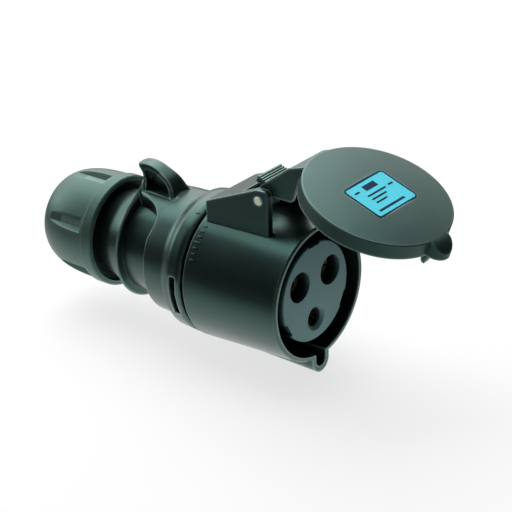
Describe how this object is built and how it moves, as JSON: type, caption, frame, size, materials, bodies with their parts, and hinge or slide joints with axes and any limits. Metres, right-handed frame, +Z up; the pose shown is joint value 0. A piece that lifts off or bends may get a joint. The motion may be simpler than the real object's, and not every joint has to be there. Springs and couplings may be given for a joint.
{
  "type": "caravan mains connector",
  "caption": "Hand-held round mains connector with a hinged lid, a twist-on rear housing with a finger fin, and a domed cable gland nut.",
  "frame": {"origin": "on the plug axis, in the plane of the mouth rim", "axes": "+X along the plug axis out of the mouth, +Z up through the lid hinge, -Z through the keyway, -Y to the side with the lock window"},
  "size_m": [0.1645, 0.0504, 0.0793],
  "materials": {
    "housing_black": "satin moulded polyamide, black",
    "nut_black": "fine-grained moulded polyamide, black",
    "lid_grey": "fine-grained moulded polyamide, dark grey",
    "insert_grey": "smooth moulded thermoplastic, mid grey",
    "brass": "turned and slotted",
    "steel": "bright drawn wire and rod",
    "rubber": "matt moulded seal",
    "label_blue": "satin blank plate",
    "cage_grey": "natural grey polyamide"
  },
  "bodies": {
    "front": {"front_housing": "housing_black", "contact_carrier": "insert_grey", "line_contact": "brass", "neutral_contact": "brass", "earth_contact": "brass", "contact_clips": "steel", "terminal_screws": "steel", "contact_retainer": "insert_grey", "retainer_screw": "steel", "coupling_seal": "rubber", "hinge_pin": "steel", "lid_spring": "steel"},
    "lid_body": {"lid": "lid_grey", "lid_gasket": "rubber", "lid_label": "label_blue"},
    "rear": {"rear_housing": "housing_black", "clamp_cage": "cage_grey", "cable_seal": "rubber"},
    "slip": {"thrust_ring": "cage_grey"},
    "nut": {"gland_nut": "nut_black"}
  },
  "joints": [
    {"name": "lid_hinge", "type": "hinge", "parent": "front", "child": "lid_body", "pos_m": [-0.01505, 0, 0.03366], "axis": [0, -1, 0], "range_deg": [-70, 22]},
    {"name": "twist_lock", "type": "hinge", "parent": "front", "child": "rear", "pos_m": [0, 0, 0], "axis": [1, 0, 0], "range_deg": [0, 30]},
    {"name": "nut_travel", "type": "slide", "parent": "rear", "child": "slip", "axis": [-1, 0, 0], "range_m": [0, 0.004]},
    {"name": "nut_turn", "type": "hinge", "parent": "slip", "child": "nut", "pos_m": [-0.1, 0, 0], "axis": [-1, 0, 0], "range_deg": [0, 720]}
  ],
  "couplings": [
    {"joint": "nut_travel", "follows": "nut_turn", "m_per_rad": 0.000318}
  ]
}
